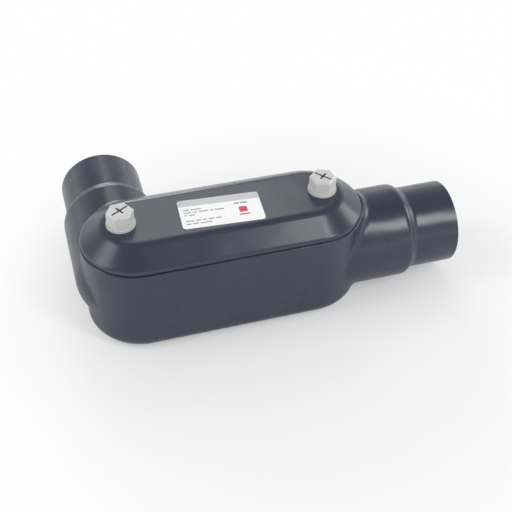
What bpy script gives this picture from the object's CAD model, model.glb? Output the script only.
import logging
import math
from dataclasses import dataclass, replace
from enum import Enum
from typing import Sequence

import bpy
import numpy as np
from mathutils import Matrix, Vector


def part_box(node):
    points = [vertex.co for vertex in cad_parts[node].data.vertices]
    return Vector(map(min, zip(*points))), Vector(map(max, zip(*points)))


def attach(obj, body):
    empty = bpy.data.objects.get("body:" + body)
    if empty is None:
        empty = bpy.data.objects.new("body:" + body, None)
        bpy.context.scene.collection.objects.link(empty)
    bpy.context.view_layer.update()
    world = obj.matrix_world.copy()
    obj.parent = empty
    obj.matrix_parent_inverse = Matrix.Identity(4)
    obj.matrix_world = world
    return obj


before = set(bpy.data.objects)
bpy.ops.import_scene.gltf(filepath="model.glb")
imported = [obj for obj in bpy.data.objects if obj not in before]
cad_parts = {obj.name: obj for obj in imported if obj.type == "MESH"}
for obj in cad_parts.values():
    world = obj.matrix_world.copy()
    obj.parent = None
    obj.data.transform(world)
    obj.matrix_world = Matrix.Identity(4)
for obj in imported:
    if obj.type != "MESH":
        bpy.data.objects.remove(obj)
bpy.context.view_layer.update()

logging.basicConfig(level=logging.INFO, format="%(levelname)s %(message)s")
LOG = logging.getLogger("conduit_body")

Colour = tuple[float, float, float]
Point = tuple[float, float, float]
Pair = tuple[float, float]
Shape = tuple[float, float, float, float]
MM = 0.001

# where a colour Mix node keeps its factor, its two colours and its result
MIX_FACTOR, MIX_FIRST, MIX_SECOND, MIX_RESULT = 0, 6, 7, 2


class Grain(Enum):
    """Kinds of surface relief, by how large their features are, in features per metre."""

    ORANGE_PEEL = 1400.0
    SAND_CAST = 2600.0
    SATIN = 5200.0


class Hub(Enum):
    """The two hubs of the casting, each by the axis that it opens along."""

    RUN = "x"
    SIDE = "y"


# ------------------------------------------------------------------ node groups

def new_group(name: str, inputs: Sequence[tuple[str, str, object]],
              outputs: Sequence[tuple[str, str]]) -> bpy.types.NodeTree:
    """Starts a shader node group with named sockets.

    Args:
        name: the group's name.
        inputs: socket name, socket type and default of each input.
        outputs: socket name and socket type of each output.

    Returns:
        The empty group with its input and output nodes in place.
    """
    tree = bpy.data.node_groups.new(name, "ShaderNodeTree")
    for label, kind, default in inputs:
        socket = tree.interface.new_socket(name=label, in_out="INPUT", socket_type=kind)
        if default is not None:
            socket.default_value = default
    for label, kind in outputs:
        tree.interface.new_socket(name=label, in_out="OUTPUT", socket_type=kind)
    tree.nodes.new("NodeGroupInput").name = "in"
    tree.nodes.new("NodeGroupOutput").name = "out"
    return tree


def noise_node(tree: bpy.types.NodeTree, detail: float, roughness: float = 0.5) -> bpy.types.Node:
    """Adds a noise texture with fixed detail to a tree.

    Args:
        tree: the tree to add to.
        detail: how many finer layers of noise it holds.
        roughness: how strong the finer layers are.

    Returns:
        The noise node.
    """
    node = tree.nodes.new("ShaderNodeTexNoise")
    node.inputs["Detail"].default_value = detail
    node.inputs["Roughness"].default_value = roughness
    return node


def math_node(tree: bpy.types.NodeTree, operation: str, first: object, second: object = 0.5
              ) -> bpy.types.NodeSocket:
    """Adds a Math node and returns its result.

    Args:
        tree: the tree to add to.
        operation: the node's operation.
        first: a socket or a number.
        second: a socket or a number.

    Returns:
        The output socket.
    """
    node = tree.nodes.new("ShaderNodeMath")
    node.operation = operation
    for index, value in enumerate((first, second)):
        if isinstance(value, (int, float)):
            node.inputs[index].default_value = value
        else:
            tree.links.new(value, node.inputs[index])
    return node.outputs[0]


def mix_colour(tree: bpy.types.NodeTree, factor: object, first: object, second: object
               ) -> bpy.types.NodeSocket:
    """Adds a colour Mix node and returns its result.

    Args:
        tree: the tree to add to.
        factor: a socket or a number.
        first: a socket or a colour for factor 0.
        second: a socket or a colour for factor 1.

    Returns:
        The output colour socket.
    """
    node = tree.nodes.new("ShaderNodeMix")
    node.data_type = "RGBA"
    for index, value in ((MIX_FACTOR, factor), (MIX_FIRST, first), (MIX_SECOND, second)):
        if isinstance(value, (int, float)):
            node.inputs[index].default_value = value
        elif isinstance(value, tuple):
            node.inputs[index].default_value = (*value, 1.0)
        else:
            tree.links.new(value, node.inputs[index])
    return node.outputs[MIX_RESULT]


def mottle_group() -> bpy.types.NodeTree:
    """Builds the group that varies a colour in soft broad patches with fine speckle on top.

    The mask is the broad noise plus Speckle times the fine noise, and the colour goes from
    Dark to Light with it.

    Returns:
        The group.
    """
    speckles_per_patch = 28.0
    tree = new_group(
        "mottle",
        [("Vector", "NodeSocketVector", None), ("Light", "NodeSocketColor", None),
         ("Dark", "NodeSocketColor", None), ("Patches", "NodeSocketFloat", 40.0),
         ("Speckle", "NodeSocketFloat", 0.15)],
        [("Colour", "NodeSocketColor"), ("Mask", "NodeSocketFloat")])
    source, sink = tree.nodes["in"], tree.nodes["out"]
    broad, fine = noise_node(tree, detail=3.0), noise_node(tree, detail=2.0, roughness=0.6)
    for node in (broad, fine):
        tree.links.new(source.outputs["Vector"], node.inputs["Vector"])
    tree.links.new(source.outputs["Patches"], broad.inputs["Scale"])
    fine_scale = math_node(tree, "MULTIPLY", source.outputs["Patches"], speckles_per_patch)
    tree.links.new(fine_scale, fine.inputs["Scale"])
    speckle = math_node(tree, "MULTIPLY", fine.outputs["Fac"], source.outputs["Speckle"])
    mask = math_node(tree, "ADD", broad.outputs["Fac"], speckle)
    tree.links.new(mask, sink.inputs["Mask"])
    tree.links.new(mix_colour(tree, mask, source.outputs["Dark"], source.outputs["Light"]),
                   sink.inputs["Colour"])
    return tree


def relief_group() -> bpy.types.NodeTree:
    """Builds the group that gives a height: slow waves plus a fine grain.

    The height is Wave times the slow noise plus Grain times the fast one.

    Returns:
        The group.
    """
    tree = new_group(
        "relief",
        [("Vector", "NodeSocketVector", None), ("Wave", "NodeSocketFloat", 0.3),
         ("Wave Scale", "NodeSocketFloat", 60.0), ("Grain", "NodeSocketFloat", 0.1),
         ("Grain Scale", "NodeSocketFloat", 1400.0)],
        [("Height", "NodeSocketFloat")])
    source, sink = tree.nodes["in"], tree.nodes["out"]
    waves, grain = noise_node(tree, detail=1.0, roughness=0.4), noise_node(tree, detail=2.0)
    for node, scale in ((waves, "Wave Scale"), (grain, "Grain Scale")):
        tree.links.new(source.outputs["Vector"], node.inputs["Vector"])
        tree.links.new(source.outputs[scale], node.inputs["Scale"])
    slow = math_node(tree, "MULTIPLY", waves.outputs["Fac"], source.outputs["Wave"])
    fast = math_node(tree, "MULTIPLY", grain.outputs["Fac"], source.outputs["Grain"])
    tree.links.new(math_node(tree, "ADD", slow, fast), sink.inputs["Height"])
    return tree


def scuff_group() -> bpy.types.NodeTree:
    """Builds the group that masks faint handling marks: thin stretched streaks in a few spots.

    Each noise less its threshold, times its gain, is held between 0 and 1. The mask is the
    product of the two and Amount.

    Returns:
        The group.
    """
    tree = new_group(
        "scuff",
        [("Vector", "NodeSocketVector", None), ("Amount", "NodeSocketFloat", 0.5),
         ("Scale", "NodeSocketFloat", 220.0)],
        [("Mask", "NodeSocketFloat")])
    stretch, slant = (0.35, 1.0, 2.2), (0.3, 0.5, 0.9)
    streak_from, streak_gain = 0.56, 7.0
    spot_from, spot_gain, spot_scale = 0.42, 4.0, 26.0
    source, sink = tree.nodes["in"], tree.nodes["out"]
    mapping = tree.nodes.new("ShaderNodeMapping")
    mapping.inputs["Scale"].default_value = stretch
    mapping.inputs["Rotation"].default_value = slant
    tree.links.new(source.outputs["Vector"], mapping.inputs["Vector"])
    streaks = noise_node(tree, detail=4.0, roughness=0.7)
    spots = noise_node(tree, detail=1.0)
    tree.links.new(mapping.outputs["Vector"], streaks.inputs["Vector"])
    tree.links.new(source.outputs["Scale"], streaks.inputs["Scale"])
    tree.links.new(source.outputs["Vector"], spots.inputs["Vector"])
    spots.inputs["Scale"].default_value = spot_scale
    sharp = math_node(tree, "SUBTRACT", streaks.outputs["Fac"], streak_from)
    thin = tree.nodes.new("ShaderNodeClamp")
    tree.links.new(math_node(tree, "MULTIPLY", sharp, streak_gain), thin.inputs["Value"])
    where = tree.nodes.new("ShaderNodeClamp")
    lifted = math_node(tree, "SUBTRACT", spots.outputs["Fac"], spot_from)
    tree.links.new(math_node(tree, "MULTIPLY", lifted, spot_gain), where.inputs["Value"])
    both = math_node(tree, "MULTIPLY", thin.outputs[0], where.outputs[0])
    tree.links.new(math_node(tree, "MULTIPLY", both, source.outputs["Amount"]),
                   sink.inputs["Mask"])
    return tree


MOTTLE, RELIEF, SCUFF = mottle_group(), relief_group(), scuff_group()


# ------------------------------------------------------------------ finishes

@dataclass(frozen=True)
class Finish:
    """A surface with mottled colour, uneven gloss, relief and faint handling marks.

    Lengths are in metres and scales in features per metre.
    """

    name: str
    light: Colour
    dark: Colour
    rough: float = 0.4
    rough_spread: float = 0.08
    patches: float = 40.0
    speckle: float = 0.15
    grain: Grain = Grain.SATIN
    grain_height: float = 0.1
    wave_height: float = 0.0
    wave_scale: float = 55.0
    relief: float = 0.00003
    scuff: float = 0.0
    scuff_colour: Colour = (0.3, 0.31, 0.34)
    scuff_rough: float = 0.25
    metallic: float = 0.0
    coat: float = 0.0
    coat_rough: float = 0.3

    def material(self) -> bpy.types.Material:
        """Builds the material, or finds it if it is built already.

        The roughness is rough - spread + 2 spread times the mottle's mask, and the scuffs add
        scuff_rough times theirs.

        Returns:
            The material.
        """
        if self.name in bpy.data.materials:
            return bpy.data.materials[self.name]
        material = bpy.data.materials.new(self.name)
        material.use_nodes = True
        tree = material.node_tree
        shader = tree.nodes["Principled BSDF"]
        place = tree.nodes.new("ShaderNodeTexCoord").outputs["Object"]
        mottle = self._group(tree, MOTTLE, place, Patches=self.patches, Speckle=self.speckle)
        mottle.inputs["Light"].default_value = (*self.light, 1.0)
        mottle.inputs["Dark"].default_value = (*self.dark, 1.0)
        colour = mottle.outputs["Colour"]
        spread = math_node(tree, "MULTIPLY", mottle.outputs["Mask"], 2.0 * self.rough_spread)
        rough = math_node(tree, "ADD", spread, self.rough - self.rough_spread)
        if self.scuff > 0.0:
            marks = self._group(tree, SCUFF, place, Amount=self.scuff)
            colour = mix_colour(tree, marks.outputs["Mask"], colour, self.scuff_colour)
            added = math_node(tree, "MULTIPLY", marks.outputs["Mask"], self.scuff_rough)
            rough = math_node(tree, "ADD", rough, added)
        tree.links.new(colour, shader.inputs["Base Color"])
        tree.links.new(rough, shader.inputs["Roughness"])
        relief = self._group(tree, RELIEF, place, Wave=self.wave_height,
                             Grain=self.grain_height)
        relief.inputs["Wave Scale"].default_value = self.wave_scale
        relief.inputs["Grain Scale"].default_value = self.grain.value
        bump = tree.nodes.new("ShaderNodeBump")
        bump.inputs["Distance"].default_value = self.relief
        tree.links.new(relief.outputs["Height"], bump.inputs["Height"])
        tree.links.new(bump.outputs["Normal"], shader.inputs["Normal"])
        shader.inputs["Metallic"].default_value = self.metallic
        shader.inputs["Coat Weight"].default_value = self.coat
        shader.inputs["Coat Roughness"].default_value = self.coat_rough
        return material

    @staticmethod
    def _group(tree: bpy.types.NodeTree, group: bpy.types.NodeTree,
               place: bpy.types.NodeSocket, **values: float) -> bpy.types.Node:
        """Places a shared group in a material with its own values.

        Args:
            tree: the material's tree.
            group: the shared group.
            place: the socket that gives the position.
            **values: input values by socket name.

        Returns:
            The group node.
        """
        node = tree.nodes.new("ShaderNodeGroup")
        node.node_tree = group
        tree.links.new(place, node.inputs["Vector"])
        for label, value in values.items():
            node.inputs[label].default_value = value
        return node


BODY_COAT = Finish("body_coat", (0.034, 0.041, 0.067), (0.027, 0.033, 0.055), rough=0.25,
                   grain=Grain.ORANGE_PEEL, grain_height=0.03, wave_height=0.7,
                   relief=0.0006, scuff=0.012, speckle=0.10)
COVER_COAT = replace(BODY_COAT, name="cover_coat", wave_height=0.5, relief=0.0004)
CAST_IRON = Finish("cast_iron", (0.36, 0.35, 0.34), (0.20, 0.19, 0.185), rough=0.55,
                   grain=Grain.SAND_CAST, grain_height=1.0, relief=0.0003, metallic=0.75,
                   patches=70.0, speckle=0.4)
THREAD_STEEL = Finish("thread_steel", (0.50, 0.49, 0.47), (0.33, 0.32, 0.31), rough=0.36,
                      grain=Grain.SATIN, grain_height=0.6, relief=0.0001, metallic=0.9,
                      patches=90.0, speckle=0.3)
GASKET_RUBBER = Finish("gasket_rubber", (0.016, 0.016, 0.018), (0.008, 0.008, 0.009),
                       rough=0.75, grain=Grain.SATIN, grain_height=0.6, relief=0.0001)
SCREW_STEEL = Finish("screw_steel", (0.62, 0.61, 0.59), (0.48, 0.47, 0.45), rough=0.3,
                     grain=Grain.SATIN, grain_height=0.3, relief=0.00005, metallic=1.0)
CAP_PLASTIC = Finish("cap_plastic", (0.60, 0.60, 0.590), (0.51, 0.51, 0.50), rough=0.36,
                     grain=Grain.ORANGE_PEEL, grain_height=0.3, relief=0.0001, patches=160.0,
                     speckle=0.2, scuff=0.15, scuff_colour=(0.32, 0.32, 0.31))
SLOT_GRIME = Finish("slot_grime", (0.030, 0.030, 0.032), (0.014, 0.014, 0.015), rough=0.7,
                    grain=Grain.SAND_CAST, grain_height=0.6, relief=0.0001, patches=500.0)
LABEL_FILM = Finish("label_film", (0.86, 0.86, 0.86), (0.81, 0.81, 0.815), rough=0.36,
                    grain=Grain.SATIN, grain_height=0.2, relief=0.00002, patches=90.0,
                    coat=0.3, coat_rough=0.15)
SILVER_INK = Finish("silver_ink", (0.56, 0.57, 0.59), (0.44, 0.45, 0.47), rough=0.34,
                    grain=Grain.SATIN, grain_height=0.3, relief=0.00001, patches=220.0,
                    speckle=0.3)
GREY_INK = Finish("grey_ink", (0.34, 0.35, 0.37), (0.22, 0.23, 0.25), rough=0.4,
                  grain=Grain.SATIN, grain_height=0.3, relief=0.00001, patches=900.0,
                  speckle=0.4)
RED_INK = Finish("red_ink", (0.62, 0.05, 0.06), (0.48, 0.03, 0.04), rough=0.38,
                 grain=Grain.SATIN, grain_height=0.3, relief=0.00001, patches=400.0)


def dress(node: str, finish: Finish) -> None:
    """Gives a solid its finish.

    Args:
        node: the solid's name.
        finish: the finish it takes.
    """
    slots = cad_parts[node].data.materials
    slots.clear()
    slots.append(finish.material())
    LOG.info("%s takes %s", node, finish.name)


# ------------------------------------------------------------------ meshes

def mesh_piece(name: str, points: np.ndarray, faces: np.ndarray, finish: Finish, body: str,
               smooth: bool = True) -> bpy.types.Object:
    """Makes a new piece from arrays and hands it to its body.

    Args:
        name: the piece's name.
        points: vertices, one row of X, Y, Z each, in metres.
        faces: vertex numbers, one row per face.
        finish: the finish it takes.
        body: the body it rides on.
        smooth: whether its faces are shaded smooth.

    Returns:
        The new object, its origin at the frame's origin.
    """
    mesh = bpy.data.meshes.new(name)
    mesh.from_pydata(points.tolist(), [], faces.tolist())
    mesh.polygons.foreach_set("use_smooth", np.full(len(mesh.polygons), smooth))
    mesh.materials.append(finish.material())
    mesh.update()
    piece = bpy.data.objects.new(name, mesh)
    bpy.context.scene.collection.objects.link(piece)
    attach(piece, body)
    LOG.info("%s: %d faces on %s", name, len(faces), body)
    return piece


def wrapped_grid_faces(rows: int, columns: int) -> np.ndarray:
    """Quads of a grid that closes on itself both ways, as a ring does.

    Args:
        rows: points around the section.
        columns: points around the ring.

    Returns:
        Vertex numbers, four a face; vertex (row, column) has number row * columns + column.
    """
    row, column = np.meshgrid(np.arange(rows), np.arange(columns), indexing="ij")
    after_row, after_column = (row + 1) % rows, (column + 1) % columns
    quads = np.stack([row * columns + column, row * columns + after_column,
                      after_row * columns + after_column, after_row * columns + column], -1)
    return quads.reshape(-1, 4)


def rounded_slabs(centres: np.ndarray, sizes: np.ndarray, corner: float, low: float,
                  high: float) -> tuple[np.ndarray, np.ndarray]:
    """Thin flat slabs with rounded corners, several in one mesh.

    Each outline is its rectangle's half sizes less the corner radius r, plus r times the unit
    circle: x = sx (a - r) + r cos t, y = sy (b - r) + r sin t, with sx and sy the signs of
    cos t and sin t.

    Args:
        centres: one row of X, Y per slab.
        sizes: one row of length, width per slab.
        corner: the corner radius, limited to half of each slab's width.
        low: height of the underside.
        high: height of the top.

    Returns:
        Vertices and triangles.
    """
    count = 24
    turn = (np.arange(count) + 0.5) * 2 * np.pi / count
    points, faces = [], []
    for (cx, cy), (length, width) in zip(centres, sizes):
        r = min(corner, length / 2, width / 2)
        x = cx + np.sign(np.cos(turn)) * (length / 2 - r) + r * np.cos(turn)
        y = cy + np.sign(np.sin(turn)) * (width / 2 - r) + r * np.sin(turn)
        base = sum(len(block) for block in points)
        ring = [np.column_stack([x, y, np.full(count, z)]) for z in (low, high)]
        points.append(np.vstack(ring + [[[cx, cy, low], [cx, cy, high]]]))
        one = np.arange(count)
        two = (one + 1) % count
        bottom, top = 2 * count, 2 * count + 1
        faces.append(base + np.vstack([
            np.column_stack([one, two, count + two]),
            np.column_stack([one, count + two, count + one]),
            np.column_stack([two, one, np.full(count, bottom)]),
            np.column_stack([count + one, count + two, np.full(count, top)])]))
    return np.vstack(points), np.vstack(faces)


def turned(points: np.ndarray, turn: float, middle: np.ndarray) -> np.ndarray:
    """Turns points about Z and moves them: x' = mx + c x - s y and y' = my + s x + c y.

    Args:
        points: one row of X, Y, Z each.
        turn: the angle, whose cosine is c and whose sine is s.
        middle: where the turning centre goes; only its mx and my count.

    Returns:
        The moved points, as high as they were.
    """
    c, s = math.cos(turn), math.sin(turn)
    return np.column_stack([middle[0] + c * points[:, 0] - s * points[:, 1],
                            middle[1] + s * points[:, 0] + c * points[:, 1],
                            points[:, 2]])


def millimetres(rows: Sequence[Sequence[float]]) -> list[tuple[float, ...]]:
    """Turns rows of millimetres into rows of metres."""
    return [tuple(value * MM for value in row) for row in rows]


# ------------------------------------------------------------------ sub-assemblies

@dataclass
class Housing:
    """The coated casting with the pipe threads cut in its two hubs. Lengths in metres."""

    hub_height: float = 22.5 * MM
    thread_radius: float = 16.6 * MM
    thread_pitch: float = 25.4 / 11.5 * MM
    thread_depth: float = 1.5 * MM
    thread_crispness: float = 0.96
    fade_rate: float = 1.5
    ring_play: float = 0.02 * MM
    ring_bite: float = 0.03 * MM
    ring_grid: tuple[int, int] = (150, 120)
    run_span: Pair = (116.4 * MM, 127.4 * MM)
    side_span: Pair = (27.8 * MM, 38.8 * MM)

    def threads(self, name: str, span: Pair, hub: Hub) -> bpy.types.Object:
        """Cuts one hub's thread as a ring that lines its bore.

        The ring's inside radius is R - f d (0.5 + 0.5 w) less a little play, where w swings
        between -1 and 1 as a rounded triangle wave of u / pitch - t / (2 pi), u is the way
        along the axis and t the angle round it. The fade f falls to 0 at both ends, and the
        ring's outside lies just in the bore's wall.

        Args:
            name: the piece's name.
            span: where the thread starts and ends along the axis.
            hub: the hub it is cut in.

        Returns:
            The ring.
        """
        steps, sides = self.ring_grid
        u = np.linspace(span[0], span[1], steps)
        t = np.arange(sides) * 2 * np.pi / sides
        phase = 2 * np.pi * (u[:, None] / self.thread_pitch - t[None, :] / (2 * np.pi))
        wave = np.arcsin(self.thread_crispness * np.sin(phase))
        wave /= math.asin(self.thread_crispness)
        edge = np.minimum(u - span[0], span[1] - u) / self.thread_pitch
        fade = np.clip(edge * self.fade_rate, 0.0, 1.0)[:, None]
        cut = fade * self.thread_depth * (0.5 + 0.5 * wave)
        inner = self.thread_radius - cut - self.ring_play
        outer = np.full((2, sides), self.thread_radius + self.ring_bite)
        radius = np.vstack([inner, outer])
        way = np.concatenate([u, [span[1], span[0]]])[:, None].repeat(sides, axis=1)
        across, up = radius * np.cos(t), radius * np.sin(t) + self.hub_height
        if hub is Hub.RUN:
            points = np.stack([way, across, up], -1)
        else:
            points = np.stack([-across, way, up], -1)
        faces = wrapped_grid_faces(steps + 2, sides)
        return mesh_piece(name, points.reshape(-1, 3), faces, THREAD_STEEL, "housing")

    def build(self) -> None:
        """Adds the threads and dresses the casting and its coating."""
        self.threads("run_hub_thread", self.run_span, Hub.RUN)
        self.threads("side_hub_thread", self.side_span, Hub.SIDE)
        dress("body_casting", CAST_IRON)
        for node in ("body_coating", "run_sleeve", "side_sleeve"):
            dress(node, BODY_COAT)


@dataclass
class Cover:
    """The coated cover plate with its gasket and its printed label.

    Lengths are in metres, apart from the rows of words, number and red shapes and what sets
    the words out, which are in millimetres. Each shape is its X, Y, length and width.
    """

    label_turn: float = math.radians(-3.5)
    ink_height: float = 0.03 * MM
    ink_bite: float = 0.01 * MM
    band: Shape = (0.0, 7.1 * MM, 35.9 * MM, 4.1 * MM)
    band_corner: float = 0.5 * MM
    word_corner: float = 0.2 * MM
    number_corner: float = 0.3 * MM
    red_corner: float = 0.35 * MM
    line_left: float = -16.3
    line_height: float = 0.7
    word_gap: float = 0.75
    lines: tuple[tuple[float, tuple[float, ...]], ...] = (
        (2.7, (2.6, 4.6)), (0.9, (3.2, 2.0, 4.1, 1.4, 4.2)), (-0.9, (1.1, 2.9)),
        (-4.6, (3.6, 2.4, 1.7, 2.6, 2.4)), (-6.5, (2.1, 2.5, 5.2)))
    number: tuple[Shape, ...] = ((7.4, 3.2, 2.3, 1.1), (10.6, 3.2, 3.1, 1.1))
    red: tuple[Shape, ...] = ((9.6, -1.1, 3.6, 3.6), (9.8, -4.4, 4.8, 0.8))

    def print_on(self, name: str, rows: Sequence[Shape], corner: float, finish: Finish
                 ) -> bpy.types.Object:
        """Prints filled shapes on the label.

        Args:
            name: the piece's name.
            rows: X, Y, length and width of each shape on the label, in metres.
            corner: their corner radius in metres.
            finish: the ink.

        Returns:
            The printed piece, a film on the label's top.
        """
        low, high = (np.array(end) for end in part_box("label"))
        table = np.array(rows, dtype=float)
        top = float(high[2])
        points, faces = rounded_slabs(table[:, :2], table[:, 2:], corner,
                                      top - self.ink_bite, top + self.ink_height)
        points = turned(points, self.label_turn, (low + high) / 2)
        return mesh_piece(name, points, faces, finish, "cover", smooth=False)

    def build(self) -> None:
        """Prints the label and dresses the cover's solids."""
        self.print_on("label_band", [self.band], self.band_corner, SILVER_INK)
        words = []
        for height, lengths in self.lines:
            left = self.line_left
            for length in lengths:
                words.append((left + length / 2, height, length, self.line_height))
                left += length + self.word_gap
        self.print_on("label_lines", millimetres(words), self.word_corner, GREY_INK)
        self.print_on("label_number", millimetres(self.number), self.number_corner, GREY_INK)
        self.print_on("label_marks", millimetres(self.red), self.red_corner, RED_INK)
        dress("gasket", GASKET_RUBBER)
        dress("cover_plate", CAST_IRON)
        dress("cover_coating", COVER_COAT)
        dress("label", LABEL_FILM)


@dataclass
class CoverScrews:
    """The two captive screws with their moulded caps. Lengths in metres, angles in radians."""

    turns: tuple[tuple[str, float], ...] = (
        ("left", math.radians(31.0)), ("right", math.radians(131.0)))
    slot: Pair = (8.56 * MM, 0.96 * MM)
    cross: Pair = (4.76 * MM, 0.96 * MM)
    slot_depth: float = 2.18 * MM
    slot_corner: float = 0.1 * MM
    grime_below: float = 0.45 * MM

    def grime(self, side: str, turn: float) -> bpy.types.Object:
        """Darkens the screwdriver slots of one cap with the grime that lies in them.

        Two crossed slabs with rounded ends fill the slots from their floor to a little below
        the cap's top, turned about the screw's axis.

        Args:
            side: which screw.
            turn: how far that screw is turned.

        Returns:
            The dark filling.
        """
        low, high = (np.array(end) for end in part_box(f"screw_{side}"))
        top = float(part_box(f"screw_cap_{side}")[1][2])
        sizes = np.array([self.slot, self.cross[::-1]])
        points, faces = rounded_slabs(np.zeros((2, 2)), sizes, self.slot_corner,
                                      top - self.slot_depth, top - self.grime_below)
        points = turned(points, turn, (low + high) / 2)
        return mesh_piece(f"slot_grime_{side}", points, faces, SLOT_GRIME, f"screw_{side}",
                          smooth=False)

    def build(self) -> None:
        """Dresses both screws and caps and darkens their slots."""
        for side, turn in self.turns:
            self.grime(side, turn)
            dress(f"screw_{side}", SCREW_STEEL)
            dress(f"screw_cap_{side}", CAP_PLASTIC)


@dataclass(frozen=True)
class Lamp:
    """A soft box: the way it stands from the part's middle, its width and height, its watts."""

    name: str
    way: Point
    size: Pair
    power: float


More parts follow.
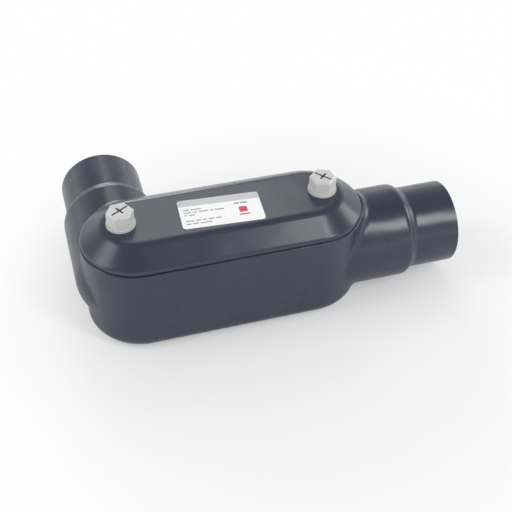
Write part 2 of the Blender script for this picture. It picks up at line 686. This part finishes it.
@dataclass
class Studio:
    """Floor, lamps, world and camera.

    Lengths are in metres and angles in radians. The lens and its sensor are in millimetres.
    """

    eye: Point = (-30.19 * MM, -289.81 * MM, 310.89 * MM)
    azimuth: float = 0.30583
    elevation: float = 0.76111
    roll: float = 0.02942
    lens: float = 63.24961
    sensor: float = 36.0
    clip: Pair = (0.01, 50.0)
    target: Point = (0.065, 0.01, 0.03)
    floor_half: float = 6.0
    floor_colour: Colour = (0.90, 0.90, 0.91)
    floor_rough: float = 0.9
    floor_gloss: float = 0.1
    wall_strength: float = 1.56
    ceiling_strength: float = 0.36
    ceiling_from: float = 0.6
    shadow_lift: Pair = (0.30, 0.97)
    shadow_reach: Pair = (0.08, 0.19)
    shadow_middle: Point = (0.095, -0.015, 0.0)
    lamps: tuple[Lamp, ...] = (
        Lamp("back_top", (0.12, 0.66, 0.75), (0.40, 0.40), 1.2),
        Lamp("left_high", (-0.71, 0.07, 0.70), (0.36, 0.36), 1.6),
        Lamp("left", (-0.92, -0.06, 0.32), (0.36, 0.36), 1.3),
        Lamp("front_right", (0.43, -0.55, 0.72), (0.16, 0.50), 2.9),
        Lamp("right", (0.92, 0.05, 0.38), (0.36, 0.36), 1.8),
        Lamp("back_low", (0.0, 0.97, 0.25), (0.36, 0.36), 1.3))

    def camera(self) -> None:
        """Sets the camera: it looks along the azimuth and down by the elevation, and rolls."""
        az, el = self.azimuth, self.elevation
        ahead = Vector((math.sin(az) * math.cos(el), math.cos(az) * math.cos(el),
                        -math.sin(el)))
        right = Vector((math.cos(az), -math.sin(az), 0.0))
        up = right.cross(ahead)
        across = math.cos(self.roll) * right + math.sin(self.roll) * up
        above = -math.sin(self.roll) * right + math.cos(self.roll) * up
        data = bpy.data.cameras.new("camera")
        data.lens = self.lens
        data.sensor_width = self.sensor
        data.clip_start, data.clip_end = self.clip
        eye = bpy.data.objects.new("camera", data)
        bpy.context.scene.collection.objects.link(eye)
        turn = Matrix((across, above, -ahead)).transposed()
        eye.matrix_world = Matrix.Translation(self.eye) @ turn.to_4x4()
        bpy.context.scene.camera = eye

    def light(self, lamp: Lamp) -> None:
        """Sets a soft box up a metre from the part's middle and aims it there.

        Args:
            lamp: the soft box.
        """
        data = bpy.data.lights.new(lamp.name, "AREA")
        data.shape, data.energy = "RECTANGLE", lamp.power
        data.size, data.size_y = lamp.size
        box = bpy.data.objects.new(lamp.name, data)
        bpy.context.scene.collection.objects.link(box)
        outward = Vector(lamp.way).normalized()
        aim = (-outward).to_track_quat("-Z", "Y").to_matrix().to_4x4()
        box.matrix_world = Matrix.Translation(Vector(self.target) + outward) @ aim

    def floor(self) -> None:
        """Lays the pale floor under the part, white to the camera away from its shadow.

        To the camera alone, a share of plain white is mixed in. It rises smoothly between the
        two shadow_lift values over the two shadow_reach distances from shadow_middle.
        """
        mesh = bpy.data.meshes.new("floor")
        half = self.floor_half
        mesh.from_pydata([(-half, -half, 0), (half, -half, 0), (half, half, 0),
                          (-half, half, 0)], [], [(0, 1, 2, 3)])
        material = bpy.data.materials.new("floor_paint")
        material.use_nodes = True
        shader = material.node_tree.nodes["Principled BSDF"]
        shader.inputs["Base Color"].default_value = (*self.floor_colour, 1.0)
        shader.inputs["Roughness"].default_value = self.floor_rough
        shader.inputs["Specular IOR Level"].default_value = self.floor_gloss
        tree = material.node_tree
        glow, blend = tree.nodes.new("ShaderNodeEmission"), tree.nodes.new("ShaderNodeMixShader")
        path, lift = tree.nodes.new("ShaderNodeLightPath"), tree.nodes.new("ShaderNodeMapRange")
        away = tree.nodes.new("ShaderNodeVectorMath")
        away.operation = "DISTANCE"
        away.inputs[1].default_value = self.shadow_middle
        tree.links.new(tree.nodes.new("ShaderNodeTexCoord").outputs["Object"], away.inputs[0])
        tree.links.new(away.outputs["Value"], lift.inputs["Value"])
        lift.interpolation_type = "SMOOTHSTEP"
        for index, label in enumerate(("Min", "Max")):
            lift.inputs[f"From {label}"].default_value = self.shadow_reach[index]
            lift.inputs[f"To {label}"].default_value = self.shadow_lift[index]
        tree.links.new(math_node(tree, "MULTIPLY", path.outputs["Is Camera Ray"],
                                 lift.outputs["Result"]), blend.inputs["Fac"])
        tree.links.new(shader.outputs["BSDF"], blend.inputs[1])
        tree.links.new(glow.outputs["Emission"], blend.inputs[2])
        tree.links.new(blend.outputs["Shader"],
                       tree.nodes["Material Output"].inputs["Surface"])
        mesh.materials.append(material)
        floor = bpy.data.objects.new("floor", mesh)
        bpy.context.scene.collection.objects.link(floor)

    def world(self) -> None:
        """Lights the room: pale walls all round, a dimmer ceiling, white to the camera.

        The strength falls in a straight line from the walls' at the horizon to the ceiling's
        at the height ceiling_from of the direction, and stays at the walls' below the horizon.
        """
        world = bpy.data.worlds.new("room")
        bpy.context.scene.world = world
        world.use_nodes = True
        tree = world.node_tree
        back = tree.nodes["Background"]
        path = tree.nodes.new("ShaderNodeLightPath")
        seen = math_node(tree, "MAXIMUM", path.outputs["Is Camera Ray"],
                         path.outputs["Is Transmission Ray"])
        split = tree.nodes.new("ShaderNodeSeparateXYZ")
        tree.links.new(tree.nodes.new("ShaderNodeTexCoord").outputs["Generated"],
                       split.inputs["Vector"])
        fall = tree.nodes.new("ShaderNodeMapRange")
        for label, value in (("From Max", self.ceiling_from), ("To Min", self.wall_strength),
                             ("To Max", self.ceiling_strength)):
            fall.inputs[label].default_value = value
        tree.links.new(split.outputs["Z"], fall.inputs["Value"])
        walls = fall.outputs["Result"]
        gap = math_node(tree, "SUBTRACT", 1.0, walls)
        tree.links.new(math_node(tree, "ADD", walls, math_node(tree, "MULTIPLY", gap, seen)),
                       back.inputs["Strength"])
        back.inputs["Color"].default_value = (1.0, 1.0, 1.0, 1.0)

    def build(self) -> None:
        """Sets the whole stage."""
        self.floor()
        self.world()
        for lamp in self.lamps:
            self.light(lamp)
        self.camera()
        bpy.context.scene.view_settings.view_transform = "Standard"


def main() -> None:
    """Builds every sub-assembly and the stage."""
    for part in (Housing(), Cover(), CoverScrews(), Studio()):
        part.build()
        LOG.info("%s done", type(part).__name__)


if __name__ == "__main__":
    main()
